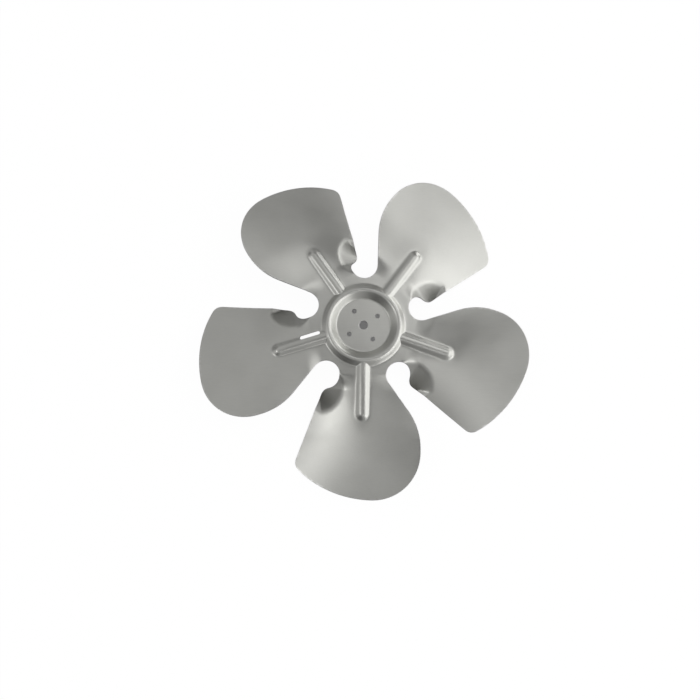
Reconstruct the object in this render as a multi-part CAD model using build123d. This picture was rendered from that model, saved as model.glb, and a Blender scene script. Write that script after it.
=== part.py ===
from build123d import *
from math import cos, exp, log, pi, radians, sin, sqrt, tan
import os

# Fan blade: a five-bladed axial fan wheel pressed from one aluminium sheet.
# Millimetres. Z is the axis of rotation and the front of the wheel faces up.
# The origin is the centre of the bore, on the back of the drilled disc.

# sheet and blade pattern
sheet = 1.2
blades = 5
first_rib_angle = -90.0

# hub: a drilled disc at the bottom of a dished boss, measured at mid-sheet
disc_drop = 1.5
crest_outer_radius = 27.0
crest_width = 1.8
crest_height = 4.5
recess_run = 4.6
foot_run = 3.3
hub_bend = 0.8
crest_inner_radius = crest_outer_radius - crest_width
disc_radius = crest_inner_radius - recess_run
foot_radius = crest_outer_radius + foot_run

# holes in the disc
bore_diameter = 6.4
screw_hole_diameter = 3.6
screw_circle = 25.4
screw_holes = 4
first_screw_angle = 34.0

# plan outline of one blade: u runs out along the rib, v runs counter-clockwise.
# One long edge is straight, the other is full and round.
flange_reach = 36.5
notch_inset = 0.3
notch_radius = 10.0
notch_bottom = flange_reach - notch_inset
tip_radius = 127.0
tip_arc_share = 0.63
tip_arc_offset = 3.0
tip_arc_radius = tip_arc_share * tip_radius
full_side = 41.2
full_edge_slope = 35.3
full_bend_share = 0.86
full_corner_share = 0.283
full_corner_radius = full_corner_share * tip_radius
straight_side = 41.3
straight_side_reach = 80.0
straight_edge_slope = 20.2
straight_corner_radius = 7.0
shoulder_radius = 8.0

# forming: pitch and camber, which lie flat beside the rib, and backward droop of the tip
root_pitch = 16.7
tip_pitch = 13.6
camber_radius = 125.0
rise_length = 12.9
rib_flat = 6.0
rib_flat_start = 52.0
rib_flat_end = 84.0
rib_flat_softness = 2.2
tip_droop = 3.7
droop_power = 1.5

# lip turned down inside a circular crease, where the straight edge meets the notch
lip_reach = 47.0
lip_side = 33.0
lip_radius = 19.0
lip_angle = 27.7
lip_bearings = 24

# pressed rib
rib_end = 70.6
rib_width = 9.8
rib_height = 3.0
rib_flank_angle = 43.0

# slot pierced in the rib flank of one blade
slot_blade = 4
slot_length = 15.6
slot_width = 3.0
slot_reach = 40.6
slot_side = 3.9

# how finely the formed sheet is sampled, and how far cutting tools overshoot
stations = 12
station_crowding = 1.6
points_across = 25
overshoot = 12.0


def ease(start, end, x):
    """Smooth step from 0 at start to 1 at end."""
    t = min(max((x - start) / (end - start), 0.0), 1.0)
    return t * t * (3.0 - 2.0 * t)


def ramp(x, softness):
    """Rounded ramp: 0 for negative x, x for positive x, bent softly at 0."""
    return softness * log(1.0 + exp(x / softness))


def blade_height(u, v):
    """Height of mid-sheet above the flange, u out along the rib and v across it."""
    formed = ease(flange_reach, flange_reach + rise_length, u)
    out = max((u - flange_reach) / (tip_radius - flange_reach), 0.0)
    root_slope = tan(radians(root_pitch))
    slope = root_slope + (tan(radians(tip_pitch)) - root_slope) * out
    flat = rib_flat * (1.0 - ease(rib_flat_start, rib_flat_end, u))
    across = ramp(v - flat, rib_flat_softness) - ramp(-v - flat, rib_flat_softness)
    camber = (1.0 - out) * v**2 / (2.0 * camber_radius)
    return formed * (slope * across - camber - tip_droop * out**droop_power)


def half_sheet(u, v):
    """Half the sheet measured along Z, so that a sloping sheet keeps its thickness."""
    step = 0.1 * sheet
    slope_u = (blade_height(u + step, v) - blade_height(u - step, v)) / (2.0 * step)
    slope_v = (blade_height(u, v + step) - blade_height(u, v - step)) / (2.0 * step)
    return 0.5 * sheet * sqrt(1.0 + slope_u**2 + slope_v**2)


def blade_section(u, side, bottom):
    """Closed section of the space under one face of the formed blade, in the plane at u."""
    low = -straight_side - overshoot
    high = full_side + overshoot
    share = [i / (points_across - 1) for i in range(points_across)]
    across = [low + (high - low) * s for s in share]
    face = [Vector(u, v, blade_height(u, v) + side * half_sheet(u, v)) for v in across]
    upper = Edge.make_spline(face, parameters=share)
    rest = Polyline(face[-1], (u, high, bottom), (u, low, bottom), face[0])
    return Wire([upper, *rest.edges()])


def lip_funnel(side):
    """Funnel from its apex through the crease, whose inside is pressed out of the blade."""
    centre = blade_height(lip_reach, -lip_side)
    slope = tan(radians(lip_angle))
    apex_half = 0.5 * sheet * sqrt(1.0 + slope**2)
    apex = Vector(lip_reach, -lip_side, centre - slope * lip_radius + side * apex_half)
    mouth = []
    for i in range(lip_bearings):
        bearing = 2.0 * pi * i / lip_bearings
        u = lip_reach + lip_radius * cos(bearing)
        v = lip_radius * sin(bearing) - lip_side
        crease = Vector(u, v, max(blade_height(u, v), centre) + side * half_sheet(u, v))
        mouth.append(apex + (crease - apex) * ((overshoot - apex.Z) / (crease.Z - apex.Z)))
    rim = Wire([Edge.make_spline(mouth, periodic=True)])
    return Solid.make_loft([Vertex(apex), rim], ruled=True)


def under_blade(side, bottom):
    """Space under the front face (side 1) or the back face (side -1) of a blade, lip and all."""
    start = flange_reach - sheet
    length = tip_radius + sheet - start
    sections = []
    for i in range(stations):
        u = start + length * (i / (stations - 1)) ** station_crowding
        sections.append(blade_section(u, side, bottom))
    return Solid.make_loft(sections) - lip_funnel(side)


def blade_plan():
    """Flat outline of one blade, from the flange to the tip."""
    half_step = radians(180.0 / blades)
    notch_u = (notch_bottom + notch_radius) * cos(half_step)
    notch_v = (notch_bottom + notch_radius) * sin(half_step)
    root_v = notch_v - sqrt(notch_radius**2 - (notch_u - flange_reach) ** 2)
    full_root = (flange_reach, root_v)
    straight_root = (flange_reach, -root_v)

    # full edge: leaves the notch as a tangent and bends to run along the rib
    slope = radians(full_edge_slope)
    tangent = (notch_u + notch_radius * sin(slope), notch_v - notch_radius * cos(slope))
    bend = (tangent[0] + (full_side - tangent[1]) / tan(slope), full_side)
    full_neck = ThreePointArc(full_root, (notch_u, notch_v - notch_radius), tangent)

    # straight edge: a line of falling v that starts where it crosses the other notch
    fall = tan(radians(straight_edge_slope))
    gap = notch_v - straight_side + (straight_side_reach - notch_u) * fall
    from_notch = gap * fall + sqrt((1.0 + fall**2) * notch_radius**2 - gap**2)
    start_u = notch_u + from_notch / (1.0 + fall**2)
    start = (start_u, (straight_side_reach - start_u) * fall - straight_side)
    diagonal = notch_radius * sqrt(0.5)
    straight_neck = ThreePointArc(start, (notch_u + diagonal, diagonal - notch_v), straight_root)

    far_u = tip_radius + overshoot
    far_v = (straight_side_reach - far_u) * fall - straight_side
    edges = Polyline(tangent, bend, (far_u, full_side), (far_u, far_v), start).edges()
    root = Line(straight_root, full_root)
    plan = make_face([*edges, full_neck, straight_neck, root])

    # tip arc, and the length left for the bend between its corner and the full edge
    tip_u = sqrt((tip_radius - tip_arc_radius) ** 2 - tip_arc_offset**2)
    plan = plan & Pos(tip_u, tip_arc_offset) * Circle(tip_arc_radius)
    corner_rise = full_side - full_corner_radius - tip_arc_offset
    corner_run = sqrt((tip_arc_radius - full_corner_radius) ** 2 - corner_rise**2)
    bend_room = tip_u + corner_run - bend[0]
    full_bend_radius = full_bend_share * bend_room / tan(0.5 * slope)
    rounds = [
        ((tip_radius, full_side), full_corner_radius),
        ((tip_radius, far_v), straight_corner_radius),
        (bend, full_bend_radius),
        (start, shoulder_radius),
    ]
    for corner, radius in rounds:
        plan = fillet(plan.vertices().sort_by_distance(corner)[0], radius)
    return plan


def rib(inset, base):
    """Tapered rib running out of the boss, with every face moved in by the inset."""
    flank = radians(rib_flank_angle)
    top = 0.5 * sheet + rib_height - inset
    half_width = 0.5 * rib_width + (0.5 * sheet - base) * tan(flank) - inset / cos(flank)
    inner = crest_outer_radius
    outer = rib_end - 0.5 * rib_width
    plan = Pos(0.5 * (inner + outer), 0) * Rectangle(outer - inner, 2.0 * half_width)
    plan = plan + Pos(outer, 0) * Circle(half_width)
    return extrude(Pos(0, 0, base) * plan, top - base, taper=rib_flank_angle)


def around(shape, count, first_angle):
    """Copies of a shape turned about the axis of rotation."""
    return [Rot(0, 0, first_angle + 360.0 * i / count) * shape for i in range(count)]


def drill(plan):
    """Cutting tool that runs right through the wheel."""
    return extrude(plan, tip_radius, both=True)


# sheet of the hub from the axis to the flange, and the space under it, turned about Z
flange_rim = notch_bottom + 2.0 * notch_radius
hub_corners = Polyline(
    (0, -disc_drop),
    (disc_radius, -disc_drop),
    (crest_inner_radius, crest_height),
    (crest_outer_radius, crest_height),
    (foot_radius, 0),
    (flange_rim, 0),
)
disc_corner = hub_corners.vertices()[1]
foot_corner = hub_corners.vertices()[4]
hub_line = hub_corners.wire().chamfer_2d(hub_bend, hub_bend, [disc_corner, foot_corner])
hub = revolve(Plane.XZ * trace(hub_line, sheet), Axis.Z)
under_line = hub_line.offset_2d(0.5 * sheet, side=Side.RIGHT, closed=False)
under_sides = Polyline(under_line @ 1, (flange_rim, -overshoot), (0, -overshoot), under_line @ 0)
under_face = make_face([*under_line.edges(), *under_sides.edges()])
under_hub = revolve(Plane.XZ * under_face, Axis.Z)

# ribs: the hollow behind each one, and the raised sheet over that hollow
rib_hollow = rib(sheet, -2.0 * sheet)
rib_sheet = rib(0.0, 0.0) - under_hub - rib_hollow
hub = hub - around(rib_hollow, blades, 0.0) + around(rib_sheet, blades, 0.0)

# flange: a flat side where each blade starts, with a notch between neighbours
notch = Pos(notch_bottom + notch_radius, 0) * Circle(notch_radius)
flange = Rot(0, 0, 180.0 / blades) * RegularPolygon(flange_reach, blades, major_radius=False)
flange = flange - around(notch, blades, 180.0 / blades)
hub = hub & drill(flange)

# one blade, ribbed and cut to its plan, then repeated around the hub
depth = straight_side + overshoot
formed_blade = under_blade(1.0, -depth) - under_blade(-1.0, -depth - overshoot)
blade = formed_blade - rib_hollow + rib_sheet
blade = blade & drill(blade_plan())
fan_blade = hub.fuse(*around(blade, blades, 0.0), glue=True)

# bore and screw holes in the disc, and the slot beside one rib
screw = Pos(0.5 * screw_circle, 0) * Circle(0.5 * screw_hole_diameter)
slot = Pos(slot_reach, -slot_side) * SlotOverall(slot_length, slot_width)
holes = around(screw, screw_holes, first_screw_angle - first_rib_angle)
holes.append(Circle(0.5 * bore_diameter))
holes.append(Rot(0, 0, 360.0 * slot_blade / blades) * slot)
for hole in holes:
    fan_blade = fan_blade - drill(hole)

# set the back of the disc at Z = 0 and turn the first rib into place
fan_blade = Pos(0, 0, disc_drop + 0.5 * sheet) * Rot(0, 0, first_rib_angle) * fan_blade
os.makedirs("parts", exist_ok=True)
export_step(fan_blade, "parts/fan_blade.step")
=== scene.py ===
import bmesh
import bpy
import numpy as np
from mathutils import Matrix, Vector


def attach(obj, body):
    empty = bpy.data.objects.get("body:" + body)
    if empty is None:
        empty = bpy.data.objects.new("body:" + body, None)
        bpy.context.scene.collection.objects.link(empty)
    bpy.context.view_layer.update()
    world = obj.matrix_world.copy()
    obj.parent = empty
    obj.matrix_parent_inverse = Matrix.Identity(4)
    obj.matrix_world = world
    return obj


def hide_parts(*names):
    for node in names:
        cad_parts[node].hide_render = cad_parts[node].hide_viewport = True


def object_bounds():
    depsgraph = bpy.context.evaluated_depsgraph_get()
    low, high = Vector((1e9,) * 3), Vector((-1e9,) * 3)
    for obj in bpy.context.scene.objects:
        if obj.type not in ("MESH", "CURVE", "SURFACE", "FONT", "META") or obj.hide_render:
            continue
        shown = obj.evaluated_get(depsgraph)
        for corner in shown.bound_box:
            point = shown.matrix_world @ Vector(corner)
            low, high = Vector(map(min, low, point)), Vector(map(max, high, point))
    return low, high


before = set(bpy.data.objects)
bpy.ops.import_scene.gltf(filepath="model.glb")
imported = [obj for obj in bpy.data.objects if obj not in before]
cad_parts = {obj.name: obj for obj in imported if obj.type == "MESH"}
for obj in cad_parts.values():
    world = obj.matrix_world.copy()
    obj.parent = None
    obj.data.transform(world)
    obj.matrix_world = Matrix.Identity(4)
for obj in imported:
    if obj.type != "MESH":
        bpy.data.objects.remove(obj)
cad_low, cad_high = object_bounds()

# Sizes of the pressed wheel in millimetres and degrees, as in the part's source, but for
# the walls of the boss and of the ribs, which are drawn out to lower slopes.
MM = 0.001
sheet = 1.2
blades = 5
blade_step = 360.0 / blades
first_rib_angle = -90.0

disc_drop = 1.5
crest_outer_radius = 27.0
crest_width = 1.2
crest_height = 4.0
recess_run = 5.3
foot_run = 4.2
crest_inner_radius = crest_outer_radius - crest_width
disc_radius = crest_inner_radius - recess_run
foot_radius = crest_outer_radius + foot_run
flange_height = disc_drop + 0.5 * sheet

bore_diameter = 6.4
screw_hole_diameter = 3.6
screw_circle = 25.4
screw_holes = 4
first_screw_angle = 34.0

flange_reach = 36.5
notch_inset = 0.3
notch_radius = 10.0
notch_bottom = flange_reach - notch_inset
tip_radius = 127.0
tip_arc_radius = 0.63 * tip_radius
tip_arc_offset = 3.0
full_side = 41.2
full_edge_slope = 35.3
full_bend_share = 0.86
full_corner_radius = 0.283 * tip_radius
straight_side = 41.3
straight_side_reach = 80.0
straight_edge_slope = 20.2
straight_corner_radius = 7.0
shoulder_radius = 8.0

root_pitch = 16.7
tip_pitch = 13.6
camber_radius = 125.0
rise_length = 12.9
rib_flat = 6.0
rib_flat_start = 52.0
rib_flat_end = 84.0
rib_flat_softness = 2.2
tip_droop = 3.7
droop_power = 1.5

lip_reach = 47.0
lip_side = 33.0
lip_radius = 19.0
lip_angle = 27.7

rib_end = 70.6
rib_width = 9.8
rib_height = 2.6
rib_flank_angle = 49.0

slot_blade = 4
slot_length = 15.6
slot_width = 3.0
slot_reach = 40.6
slot_side = 3.9

# Softness of the pressed bends and the rounding of the cut edge, in millimetres.
disc_softness = 0.22
hub_softness = 0.5
rib_softness = 0.5
rib_blend = 0.9
lip_softness = 1.1
edge_round = 0.28

# Fineness of the grids, and the distances used in making the mesh.
disc_rings = 5
boss_rings = 24
boss_margin = 1.2
flange_rings = 5
notch_columns = 12
root_columns = 72
root_crowding = 0.42
blade_rows = 76
row_crowding = 1.4
arc_points = 160
hole_points = 48
slope_step = 0.02
cutter_reach = 20.0
merge_distance_m = 2e-6
sharp_angle = 38.0

# Stage: distances in metres, the side of the photo in pixels.
light_distance = 5.0
floor_reach = 6.0
# Radii in metres of a painted shadow under the hub: inside them the floor's white is faded out
# by distance from the axis, not by the light.
painted_shadow_start = 0.024
painted_shadow_end = 0.036
photo_side = 700.0
sensor_width = 36.0


def ease(start, end, x):
    """Smooth step: 0 before start, 1 after end, three t squared less two t cubed between."""
    t = np.clip((x - start) / (end - start), 0.0, 1.0)
    return t * t * (3.0 - 2.0 * t)


def ramp(x, softness):
    """Rounded ramp: softness times the log of one plus e to the x over softness."""
    return softness * np.logaddexp(0.0, x / softness)


def rounded(x, reach):
    """Rounded ramp with ends: 0 below minus the reach, x above it, a parabola between."""
    return np.clip(x + reach, 0.0, 2.0 * reach) ** 2 / (4.0 * reach) + np.maximum(x - reach, 0.0)


def formed_height(u, v):
    """Formed blade without its lip: a pitch that is flat beside the rib and eases towards
    the tip, less a parabola of camber that fades outwards and a power curve of droop."""
    formed = ease(flange_reach, flange_reach + rise_length, u)
    out = np.maximum((u - flange_reach) / (tip_radius - flange_reach), 0.0)
    root_slope = np.tan(np.radians(root_pitch))
    slope = root_slope + (np.tan(np.radians(tip_pitch)) - root_slope) * out
    flat = rib_flat * (1.0 - ease(rib_flat_start, rib_flat_end, u))
    across = ramp(v - flat, rib_flat_softness) - ramp(-v - flat, rib_flat_softness)
    camber = (1.0 - out) * v**2 / (2.0 * camber_radius)
    return formed * (slope * across - camber - tip_droop * out**droop_power)


def blade_height(u, v):
    """Formed blade with its lip: the lower of the formed sheet and a funnel, joined by a
    rounded crease. The funnel runs straight from its apex to the circle of the crease."""
    centre = formed_height(lip_reach, -lip_side)
    apex = centre - np.tan(np.radians(lip_angle)) * lip_radius
    away_u = u - lip_reach
    away_v = v + lip_side
    share = np.maximum(np.hypot(away_u, away_v) / lip_radius, 0.01)
    crease = formed_height(lip_reach + away_u / share, away_v / share - lip_side)
    funnel = apex + (np.maximum(crease, centre) - apex) * share
    formed = formed_height(u, v)
    return formed - rounded(formed - funnel, lip_softness)


def hub_height(r):
    """Dished boss: the disc, a rise to the crest and a fall to the flange, each a
    difference of two rounded ramps of the radius."""
    rise = (disc_drop + crest_height) / (crest_inner_radius - disc_radius)
    fall = crest_height / (foot_radius - crest_outer_radius)
    up = ramp(r - disc_radius, disc_softness) - ramp(r - crest_inner_radius, hub_softness)
    down = ramp(r - crest_outer_radius, hub_softness) - ramp(r - foot_radius, hub_softness)
    return rise * up - fall * down - disc_drop


def rib_rise(u, v):
    """Pressed rib: a flank and a flat crown over the distance from its spine, which is a
    straight line with a round end."""
    flank = np.radians(rib_flank_angle)
    spine_end = rib_end - 0.5 * rib_width
    distance = np.hypot(np.maximum(u - spine_end, 0.0), v)
    foot = 0.5 * rib_width - 0.5 * sheet * (1.0 - np.sin(flank)) / np.cos(flank)
    crown = foot - rib_height * np.tan(flank)
    lift = ramp(foot - distance, rib_softness) - ramp(crown - distance, rib_softness)
    return lift / np.tan(flank)


def sheet_height(u, v):
    """Mid-sheet height: the boss, the higher of boss and rib outside the crest with a
    rounded inside corner, and the formed blade added."""
    r = np.hypot(u, v)
    crest = 0.5 * (crest_inner_radius + crest_outer_radius)
    hub = hub_height(r)
    rib = rib_rise(u, v)
    corner = rib_blend * rib / rib_height * ease(crest, foot_radius, r)
    joined = 0.5 * (hub + rib + np.sqrt((hub - rib) ** 2 + corner**2))
    return np.where(r < crest, hub, joined) + blade_height(u, v)


def sheet_points(plan):
    """Points of mid-sheet over a plan, and the unit normals there from central
    differences of the height."""
    u, v = plan[..., 0], plan[..., 1]
    rise_u = sheet_height(u + slope_step, v) - sheet_height(u - slope_step, v)
    rise_v = sheet_height(u, v + slope_step) - sheet_height(u, v - slope_step)
    run = 2.0 * slope_step
    normal = np.stack([-rise_u / run, -rise_v / run, np.ones_like(u)], -1)
    normal /= np.linalg.norm(normal, axis=-1, keepdims=True)
    return np.stack([u, v, sheet_height(u, v)], -1), normal


def direction(angle):
    """Unit vector in the plan at an angle in radians."""
    return np.stack([np.cos(angle), np.sin(angle)], -1)


def heading(vector):
    """Angle of a plan vector in radians."""
    return np.arctan2(vector[1], vector[0])


def plan_turn(degrees):
    """Matrix that turns rows of plan points anticlockwise, when they are multiplied by it."""
    c, s = np.cos(np.radians(degrees)), np.sin(np.radians(degrees))
    return np.array([[c, s], [-s, c]])


def arc(centre, radius, start, end):
    """Points of a circle between two angles, the short way round."""
    turn = (end - start + np.pi) % (2.0 * np.pi) - np.pi
    return centre + radius * direction(start + turn * np.linspace(0.0, 1.0, arc_points))


def far_point(anchor, along, target, distance):
    """Point of a line at a given distance from a target, the further one of the two:
    the root of the quadratic in the place along the line."""
    offset = anchor - target
    lead = offset @ along
    place = np.sqrt(lead**2 - offset @ offset + distance**2) - lead
    return anchor + place * along


def blade_outline(inset):
    """Plan of one blade as arcs and the straight lines between them, anticlockwise from
    the bottom of one notch to the bottom of the next, moved in by the inset. Gives the
    points, their distance along the outline, and the middles of the two tip corners."""
    half_step = np.pi / blades
    notch_distance = notch_bottom + notch_radius
    low_notch = notch_distance * direction(-half_step)
    high_notch = notch_distance * direction(half_step)
    tip_u = np.sqrt((tip_radius - tip_arc_radius) ** 2 - tip_arc_offset**2)
    tip_centre = np.array([tip_u, tip_arc_offset])

    fall = np.radians(straight_edge_slope)
    along = direction(-fall)
    inward = direction(0.5 * np.pi - fall)
    anchor = np.array([straight_side_reach, -straight_side])
    shoulder = far_point(
        anchor + shoulder_radius * inward, along, low_notch, notch_radius + shoulder_radius
    )
    corner = far_point(
        anchor + straight_corner_radius * inward,
        along,
        tip_centre,
        tip_arc_radius - straight_corner_radius,
    )

    slope = np.radians(full_edge_slope)
    corner_rise = full_side - full_corner_radius - tip_arc_offset
    corner_run = np.sqrt((tip_arc_radius - full_corner_radius) ** 2 - corner_rise**2)
    full_corner = np.array([tip_u + corner_run, full_side - full_corner_radius])
    tangent = high_notch + notch_radius * direction(slope - 0.5 * np.pi)
    bend_u = tangent[0] + (full_side - tangent[1]) / np.tan(slope)
    bend_reach = full_bend_share * (full_corner[0] - bend_u)
    bend_radius = bend_reach / np.tan(0.5 * slope)
    bend = np.array([bend_u + bend_reach, full_side - bend_radius])

    low_turn = heading(corner - tip_centre)
    high_turn = heading(full_corner - tip_centre)
    outward = heading(-inward)
    up = 0.5 * np.pi
    arcs = [
        arc(low_notch, notch_radius + inset, np.pi - half_step, heading(shoulder - low_notch)),
        arc(shoulder, shoulder_radius - inset, heading(low_notch - shoulder), outward),
        arc(corner, straight_corner_radius - inset, outward, low_turn),
        arc(tip_centre, tip_arc_radius - inset, low_turn, high_turn),
        arc(full_corner, full_corner_radius - inset, high_turn, up),
        arc(bend, bend_radius - inset, up, up + slope),
        arc(high_notch, notch_radius + inset, slope - up, half_step - np.pi),
    ]
    points = np.concatenate(arcs)
    steps = np.linalg.norm(np.diff(points, axis=0), axis=1)
    length = np.concatenate([[0.0], np.cumsum(steps)])
    corners = length[[int(2.5 * arc_points), int(4.5 * arc_points)]]
    return points, length, corners


def crowd(count, power):
    """Places from 0 to 1 that crowd to 0, as a power of even steps."""
    return np.linspace(0.0, 1.0, count) ** power


def centred(count, share):
    """Places from 0 to 1 that crowd to the middle: even steps plus a sine wave."""
    t = np.linspace(0.0, 1.0, count)
    return t + share * np.sin(2.0 * np.pi * t) / (2.0 * np.pi)


def blade_patch():
    """Plan grids of one sector. The hub grid runs along rays from the bore to the notches
    and the root line. The blade grid is ruled between the two long edges, plus a growing
    share of the tip's bulge beyond the straight line between its corners."""
    points, length, corners = blade_outline(edge_round)

    def at(place):
        """Points of the outline at distances along it."""
        u = np.interp(place, length, points[:, 0])
        v = np.interp(place, length, points[:, 1])
        return np.stack([u, v], -1)

    low_root = np.interp(flange_reach, points[:arc_points, 0], length[:arc_points])
    last = points[-arc_points:][::-1]
    high_root = np.interp(flange_reach, last[:, 0], length[-arc_points:][::-1])
    across = centred(root_columns, root_crowding)
    rows = crowd(blade_rows, row_crowding)
    low_edge = at(low_root + (corners[0] - low_root) * rows)
    high_edge = at(high_root + (corners[1] - high_root) * rows)
    tip = at(corners[0] + (corners[1] - corners[0]) * across)
    t = across[None, :, None]
    ruled = low_edge[:, None] * (1.0 - t) + high_edge[:, None] * t
    blade = ruled + (tip - ruled[-1]) * rows[:, None, None]

    low_notch = at(np.linspace(0.0, low_root, notch_columns))
    high_notch = at(np.linspace(high_root, length[-1], notch_columns))
    rim = np.concatenate([low_notch[:-1], blade[0], high_notch[1:]])
    bore = 0.5 * bore_diameter + edge_round
    boss = np.linspace(disc_radius - boss_margin, foot_radius + boss_margin, boss_rings)
    disc = np.linspace(bore + edge_round, boss[0], disc_rings)
    radii = np.concatenate([[bore], disc[:-1], boss])
    rays = rim / np.linalg.norm(rim, axis=1, keepdims=True)
    inner = radii[:, None, None] * rays[None]
    share = np.linspace(0.0, 1.0, flange_rings + 1)[1:, None, None]
    outer = inner[-1][None] * (1.0 - share) + rim[None] * share
    return np.concatenate([inner, outer]), blade


def grid_faces(rows, columns, first, flip):
    """Quads of a grid of vertices held row by row, counted from the first one."""
    index = first + np.arange(rows * columns).reshape(rows, columns)
    quads = np.stack([index[:-1, :-1], index[1:, :-1], index[1:, 1:], index[:-1, 1:]], -1)
    quads = quads.reshape(-1, 4)
    return quads[:, ::-1] if flip else quads


def rolled_edge(plan, ends_turn):
    """Rounded cut edge of the sheet along a run of plan points: a profile of two quarter
    circles and a flat between them, carried along the edge, square to it."""
    mid, normal = sheet_points(plan)
    turned = plan_turn(ends_turn)
    before = np.concatenate([mid[-2:-1, :2] @ turned.T, mid[-2:-1, 2:]], 1)
    after = np.concatenate([mid[1:2, :2] @ turned, mid[1:2, 2:]], 1)
    chain = np.concatenate([before, mid, after])
    tangent = chain[2:] - chain[:-2]
    outward = np.cross(tangent, normal)
    outward /= np.linalg.norm(outward, axis=1, keepdims=True)
    quarter = np.radians(np.array([0.0, 30.0, 60.0, 90.0]))
    out = edge_round * np.sin(quarter)
    rise = 0.5 * sheet - edge_round * (1.0 - np.cos(quarter))
    out = np.concatenate([out, out[::-1]])[:, None, None]
    rise = np.concatenate([rise, -rise[::-1]])[:, None, None]
    return mid[None] + outward[None] * out + normal[None] * rise


def wheel_arrays():
    """Vertices, quads and a cut-edge mask of the whole wheel: one sector's front, back
    and edges, turned about the axis for each blade."""
    hub, blade = blade_patch()
    boundary = np.concatenate(
        [
            hub[-1, : notch_columns - 1],
            blade[:, 0],
            blade[-1, 1:-1],
            blade[::-1, -1],
            hub[-1, 1 - notch_columns :],
        ]
    )
    bore_edge = hub[0, ::-1]
    vertices, faces, cut = [], [], []
    count = 0
    for plan in (hub, blade):
        mid, normal = sheet_points(plan)
        for side in (1.0, -1.0):
            skin = mid + 0.5 * sheet * side * normal
            vertices.append(skin.reshape(-1, 3))
            faces.append(grid_faces(*plan.shape[:2], count, side < 0.0))
            cut.append(np.zeros(len(vertices[-1])))
            count += len(vertices[-1])
    for plan, turn in ((boundary, blade_step), (bore_edge, -blade_step)):
        strip = rolled_edge(plan, turn)
        vertices.append(strip.reshape(-1, 3))
        faces.append(grid_faces(*strip.shape[:2], count, False))
        cut.append(np.ones(len(vertices[-1])))
        count += len(vertices[-1])
    sector = np.concatenate(vertices)
    sector[:, 2] += flange_height
    quads = np.concatenate(faces)
    wheel = np.tile(sector, (blades, 1, 1))
    turns = [plan_turn(first_rib_angle + blade_step * k) for k in range(blades)]
    wheel[..., :2] = sector[:, :2] @ np.stack(turns)
    quads = quads[None] + (count * np.arange(blades))[:, None, None]
    return wheel.reshape(-1, 3) * MM, quads.reshape(-1, 4), np.tile(np.concatenate(cut), blades)


def quad_mesh(name, vertices, quads, cut):
    """Mesh of quads with a cut-edge mask, doubles merged and faces turned outward."""
    mesh = bpy.data.meshes.new(name)
    mesh.vertices.add(len(vertices))
    mesh.vertices.foreach_set("co", vertices.astype(np.float32).ravel())
    mesh.loops.add(quads.size)
    mesh.loops.foreach_set("vertex_index", quads.astype(np.int32).ravel())
    mesh.polygons.add(len(quads))
    mesh.polygons.foreach_set("loop_start", np.arange(0, quads.size, 4, dtype=np.int32))
    mask = mesh.attributes.new("cut_edge", "FLOAT", "POINT")
    mask.data.foreach_set("value", cut.astype(np.float32))
    mesh.update(calc_edges=True)
    work = bmesh.new()
    work.from_mesh(mesh)
    bmesh.ops.remove_doubles(work, verts=work.verts, dist=merge_distance_m)
    bmesh.ops.recalc_face_normals(work, faces=work.faces)
    work.to_mesh(mesh)
    work.free()
    return mesh


def hole_cutter(profile):
    """Closed prism over a plan profile: rings at the bottom and the top that shrink to
    the profile's middle, as a grid of four rows."""
    middle = profile.mean(0)
    ring = np.concatenate([profile, profile[:1]])
    tiny = middle + 0.001 * (ring - middle)
    rows = np.stack([tiny, ring, ring, tiny])
    heights = cutter_reach * np.array([-1.0, -1.0, 1.0, 1.0])
    heights = np.broadcast_to(heights[:, None], rows.shape[:2])
    return np.concatenate([rows, heights[..., None]], -1)


def hole_profiles():
    """Plans of the four round screw holes and of the slot, which is a run of two half
    circles, in the wheel's own frame."""
    angle = np.linspace(0.0, 2.0 * np.pi, hole_points, endpoint=False)
    places = np.radians(first_screw_angle + 360.0 / screw_holes * np.arange(screw_holes))
    round_hole = 0.5 * screw_hole_diameter * direction(angle)
    holes = [0.5 * screw_circle * direction(p) + round_hole for p in places]
    reach = 0.5 * (slot_length - slot_width) * np.sign(np.cos(angle))
    slot = 0.5 * slot_width * direction(angle)
    slot[:, 0] += slot_reach + reach
    slot[:, 1] -= slot_side
    holes.append(slot @ plan_turn(first_rib_angle + blade_step * slot_blade))
    return holes


def pierce(wheel):
    """Cuts the screw holes and the slot through the wheel and keeps the result."""
    vertices, faces, count = [], [], 0
    for profile in hole_profiles():
        grid = hole_cutter(profile)
        vertices.append(grid.reshape(-1, 3) * MM)
        faces.append(grid_faces(*grid.shape[:2], count, False))
        count += len(vertices[-1])
    vertices = np.concatenate(vertices)
    mesh = quad_mesh("hole_cutter", vertices, np.concatenate(faces), np.ones(count))
    work = bmesh.new()
    work.from_mesh(mesh)
    bmesh.ops.holes_fill(work, edges=work.edges, sides=0)
    bmesh.ops.recalc_face_normals(work, faces=work.faces)
    work.to_mesh(mesh)
    work.free()
    cutter = bpy.data.objects.new("hole_cutter", mesh)
    bpy.context.scene.collection.objects.link(cutter)
    cut = wheel.modifiers.new("holes", "BOOLEAN")
    cut.operation = "DIFFERENCE"
    cut.solver = "EXACT"
    cut.object = cutter
    graph = bpy.context.evaluated_depsgraph_get()
    pierced = bpy.data.meshes.new_from_object(wheel.evaluated_get(graph))
    wheel.modifiers.remove(cut)
    wheel.data = pierced
    bpy.data.objects.remove(cutter)


def feed(tree, value, socket):
    """Gives a socket a constant, or links another node's output to it."""
    if isinstance(value, bpy.types.NodeSocket):
        tree.links.new(value, socket)
    else:
        socket.default_value = value


def combine(tree, operation, first, second):
    """Two values added or multiplied, or the greater of the two."""
    node = tree.nodes.new("ShaderNodeMath")
    node.operation = operation
    feed(tree, first, node.inputs[0])
    feed(tree, second, node.inputs[1])
    return node.outputs[0]


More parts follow.
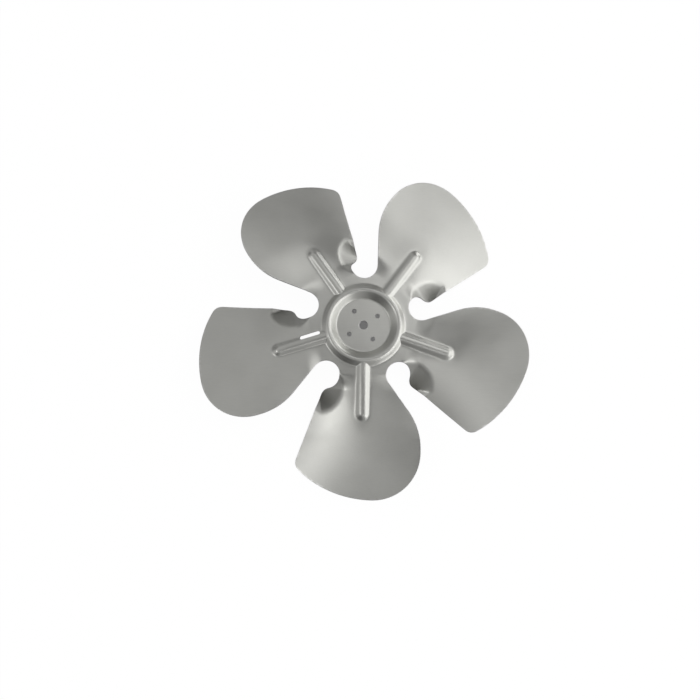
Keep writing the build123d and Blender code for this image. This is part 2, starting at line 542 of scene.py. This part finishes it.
def carried(tree, value, source, target, kind="LINEAR"):
    """Value carried from one range to another and held at its ends."""
    node = tree.nodes.new("ShaderNodeMapRange")
    node.interpolation_type = kind
    feed(tree, value, node.inputs["Value"])
    names = ("From Min", "From Max", "To Min", "To Max")
    for name, bound in zip(names, (*source, *target)):
        node.inputs[name].default_value = bound
    return node.outputs["Result"]


def colour_mix(tree, factor, first, second):
    """Two colours mixed by a factor."""
    node = tree.nodes.new("ShaderNodeMix")
    node.data_type = "RGBA"
    for name, value in (("Factor", factor), ("A", first), ("B", second)):
        feed(tree, value, node.inputs[name])
    return node.outputs["Result"]


def satin_aluminium():
    """Satin sheet aluminium: a rolled grain of noise drawn out along X and a soft cloudy
    noise vary the roughness, the colour and the bump, and the cut edge is brighter and
    smoother than the face of the sheet."""
    material = bpy.data.materials.new("satin_aluminium")
    material.use_nodes = True
    tree = material.node_tree
    nodes, links = tree.nodes, tree.links
    shader = nodes["Principled BSDF"]
    shader.inputs["Metallic"].default_value = 1.0
    place = nodes.new("ShaderNodeTexCoord")
    noise_range = (0.3, 0.7)

    def noise(scale, detail):
        """Noise on the object's own metres, with a scale for each axis."""
        stretch = nodes.new("ShaderNodeMapping")
        stretch.inputs["Scale"].default_value = scale
        texture = nodes.new("ShaderNodeTexNoise")
        texture.inputs["Scale"].default_value = 1.0
        texture.inputs["Detail"].default_value = detail
        links.new(place.outputs["Object"], stretch.inputs["Vector"])
        links.new(stretch.outputs["Vector"], texture.inputs["Vector"])
        return texture.outputs["Fac"]

    def spread(value, low, high):
        """Noise value carried to a range."""
        return carried(tree, value, noise_range, (low, high))

    def bump(height, strength, distance):
        """Bump node over a height."""
        node = nodes.new("ShaderNodeBump")
        node.inputs["Strength"].default_value = strength
        node.inputs["Distance"].default_value = distance
        links.new(height, node.inputs["Height"])
        return node

    grain = noise((90.0, 1900.0, 1900.0), 3.0)
    speckle = noise((1500.0, 1500.0, 1500.0), 2.0)
    cloud = noise((26.0, 34.0, 30.0), 3.0)
    dent = noise((34.0, 34.0, 34.0), 1.0)
    edge = nodes.new("ShaderNodeAttribute")
    edge.attribute_name = "cut_edge"
    cut_edge = edge.outputs["Fac"]

    darker = (0.655, 0.655, 0.62, 1.0)
    lighter = (0.715, 0.715, 0.68, 1.0)
    cut_metal = (0.8, 0.795, 0.78, 1.0)
    tone = combine(tree, "ADD", spread(cloud, -0.5, 0.5), spread(grain, -0.22, 0.22))
    face_colour = colour_mix(tree, combine(tree, "ADD", tone, 0.5), darker, lighter)
    colour = colour_mix(tree, cut_edge, face_colour, cut_metal)
    links.new(colour, shader.inputs["Base Color"])

    rough = combine(tree, "ADD", spread(cloud, 0.34, 0.39), spread(grain, -0.018, 0.018))
    rough = combine(tree, "ADD", rough, spread(speckle, -0.02, 0.02))
    rough = combine(tree, "ADD", rough, combine(tree, "MULTIPLY", cut_edge, -0.08))
    links.new(rough, shader.inputs["Roughness"])

    relief = combine(tree, "ADD", spread(grain, 0.0, 0.5), spread(speckle, 0.0, 0.5))
    fine = bump(relief, 0.35, 0.00002)
    broad = bump(dent, 1.0, 0.0002)
    links.new(broad.outputs["Normal"], fine.inputs["Normal"])
    links.new(fine.outputs["Normal"], shader.inputs["Normal"])
    return material


def sky_direction(azimuth, tilt):
    """Unit vector at an azimuth and a tilt from straight up, both in degrees."""
    a, t = np.radians([azimuth, tilt])
    return Vector((np.sin(t) * np.cos(a), np.sin(t) * np.sin(a), np.cos(t)))


def soft_light(name, azimuth, tilt, spread, radiance):
    """Round soft light far off that faces the hub, from a direction given by its azimuth
    and its tilt from straight up, wide by an angle and as bright as the radiance says."""
    radius = light_distance * np.tan(np.radians(spread))
    lamp = bpy.data.lights.new(name, "AREA")
    lamp.shape = "DISK"
    lamp.size = 2.0 * radius
    lamp.energy = radiance * np.pi * np.pi * radius**2
    light = bpy.data.objects.new(name, lamp)
    back = sky_direction(azimuth, tilt)
    light.location = back * light_distance
    light.rotation_mode = "QUATERNION"
    light.rotation_quaternion = back.to_track_quat("Z", "Y")
    bpy.context.scene.collection.objects.link(light)


def studio_world(zenith, horizon, lean, gaps):
    """Grey surround whose strength runs evenly from overhead down to the horizon, with a
    lean to one side, the direction's dot product with a vector, less soft dark gaps, each
    given by its azimuth, tilt, reach in degrees and depth. The camera sees it as white."""
    world = bpy.data.worlds.new("studio")
    bpy.context.scene.world = world
    world.use_nodes = True
    tree = world.node_tree
    place = tree.nodes.new("ShaderNodeTexCoord")

    def along(vector):
        """Dot product of the direction looked in with a vector."""
        node = tree.nodes.new("ShaderNodeVectorMath")
        node.operation = "DOT_PRODUCT"
        node.inputs[1].default_value = vector
        tree.links.new(place.outputs["Generated"], node.inputs[0])
        return node.outputs["Value"]

    level = carried(tree, along((0.0, 0.0, 1.0)), (0.0, 1.0), (horizon, zenith))
    level = combine(tree, "ADD", level, along(lean))
    for azimuth, tilt, reach, depth in gaps:
        towards = along(sky_direction(azimuth, tilt))
        rim = np.cos(np.radians(reach))
        gap = carried(tree, towards, (rim, 1.0), (0.0, -depth), "SMOOTHSTEP")
        level = combine(tree, "ADD", level, gap)
    darkest = 0.02
    level = combine(tree, "MAXIMUM", level, darkest)
    path = tree.nodes.new("ShaderNodeLightPath")
    level = combine(tree, "MAXIMUM", level, path.outputs["Is Camera Ray"])
    surround = tree.nodes["Background"]
    surround.inputs["Color"].default_value = (1.0, 1.0, 1.0, 1.0)
    tree.links.new(level, surround.inputs["Strength"])


def pale_floor(height):
    """Flat square floor under the wheel: white to the camera, with the white faded out by
    distance from the axis so that under the hub it turns to plain shaded floor, a painted shadow
    laid over the wheel's own shadow there."""
    mesh = bpy.data.meshes.new("floor")
    corner = floor_reach * np.array([[-1, -1, 0], [1, -1, 0], [1, 1, 0], [-1, 1, 0]], float)
    corner[:, 2] = height
    mesh.from_pydata(corner.tolist(), [], [(0, 1, 2, 3)])
    floor = bpy.data.objects.new("floor", mesh)
    bpy.context.scene.collection.objects.link(floor)
    material = bpy.data.materials.new("pale_floor")
    material.use_nodes = True
    tree = material.node_tree
    nodes, links = tree.nodes, tree.links
    nodes.clear()
    output = nodes.new("ShaderNodeOutputMaterial")
    shaded = nodes.new("ShaderNodeBsdfDiffuse")
    shaded.inputs["Color"].default_value = (0.6, 0.6, 0.6, 1.0)
    white = nodes.new("ShaderNodeEmission")
    white.inputs["Strength"].default_value = 1.075
    path = nodes.new("ShaderNodeLightPath")
    seen_by = (path.outputs["Is Camera Ray"], path.outputs["Is Transmission Ray"])
    seen = combine(tree, "MAXIMUM", *seen_by)
    place = nodes.new("ShaderNodeTexCoord")
    away = nodes.new("ShaderNodeVectorMath")
    away.operation = "LENGTH"
    links.new(place.outputs["Object"], away.inputs[0])
    shadow = (painted_shadow_start, painted_shadow_end)
    # Painted shadow: the white share falls from 0.9 to 0.1 towards the axis, so the floor under
    # the hub goes dark by distance alone.
    white_share_past_painted_shadow = carried(tree, away.outputs["Value"], shadow, (0.1, 0.9), "SMOOTHSTEP")
    mix = nodes.new("ShaderNodeMixShader")
    links.new(combine(tree, "MULTIPLY", seen, white_share_past_painted_shadow), mix.inputs["Fac"])
    links.new(shaded.outputs[0], mix.inputs[1])
    links.new(white.outputs[0], mix.inputs[2])
    links.new(mix.outputs[0], output.inputs["Surface"])
    mesh.materials.append(material)


def photo_camera(tilt, azimuth, roll, distance, hub_pixel, scale):
    """Camera at a distance from the hub along a direction given by tilt and azimuth, moved
    sideways so that the hub falls on its pixel of the square frame. The scale is in pixels
    for each millimetre at the hub."""
    back = sky_direction(azimuth, tilt)
    r = np.radians(roll)
    up = Vector((-np.sin(r), np.cos(r), 0.0))
    up = (up - up.dot(back) * back).normalized()
    right = up.cross(back)
    shift = (np.array(hub_pixel) - 0.5 * photo_side) / scale
    data = bpy.data.cameras.new("camera")
    data.sensor_width = sensor_width
    data.lens = sensor_width * scale * distance / photo_side
    data.clip_start = 0.01
    data.clip_end = 100.0
    camera = bpy.data.objects.new("camera", data)
    flange = Vector((0.0, 0.0, flange_height))
    eye = flange + back * distance - right * shift[0] + up * shift[1]
    turn = Matrix((right, up, back)).transposed().to_4x4()
    camera.matrix_world = Matrix.Translation(eye * MM) @ turn
    bpy.context.scene.collection.objects.link(camera)
    bpy.context.scene.camera = camera


# The wheel itself: one pressed and pierced sheet.
wheel = bpy.data.objects.new("pressed_wheel", quad_mesh("pressed_wheel", *wheel_arrays()))
bpy.context.scene.collection.objects.link(wheel)
pierce(wheel)
wheel.data.shade_smooth()
wheel.data.set_sharp_from_angle(angle=np.radians(sharp_angle))
flat_faces = wheel.modifiers.new("flat_faces", "WEIGHTED_NORMAL")
flat_faces.keep_sharp = True
wheel.data.materials.clear()
wheel.data.materials.append(satin_aluminium())
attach(wheel, "root")
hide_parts("fan_blade")

# Stage, light and camera. Each light has its azimuth, tilt and half-width in degrees and its
# radiance, and each dark gap its azimuth, tilt and reach in degrees and its depth.
pale_floor(cad_low.z)
soft_light("left_softbox", 198.0, 48.0, 8.1, 2.68)
soft_light("right_softbox", -1.0, 67.0, 28.0, 1.02)
soft_light("front_softbox", 285.0, 34.0, 7.3, 1.27)
soft_light("top_softbox", 45.0, 27.0, 14.8, 0.77)
soft_light("low_front_softbox", -42.0, 66.0, 15.9, 1.26)
soft_light("upper_right_softbox", 46.0, 85.0, 14.0, 2.0)
dark_gaps = [
    (74.0, 74.0, 40.0, 0.36),
    (-45.0, 9.0, 15.3, 0.59),
    (144.0, 88.0, 41.4, 0.42),
    (235.0, 80.0, 42.0, 0.36),
]
studio_world(zenith=0.345, horizon=0.471, lean=(-0.081, 0.106, 0.0), gaps=dark_gaps)
bpy.context.scene.view_settings.view_transform = "Standard"
photo_camera(
    tilt=6.82,
    azimuth=261.58,
    roll=1.0,
    distance=272.0,
    hub_pixel=(363.52, 324.89),
    scale=1.3334,
)
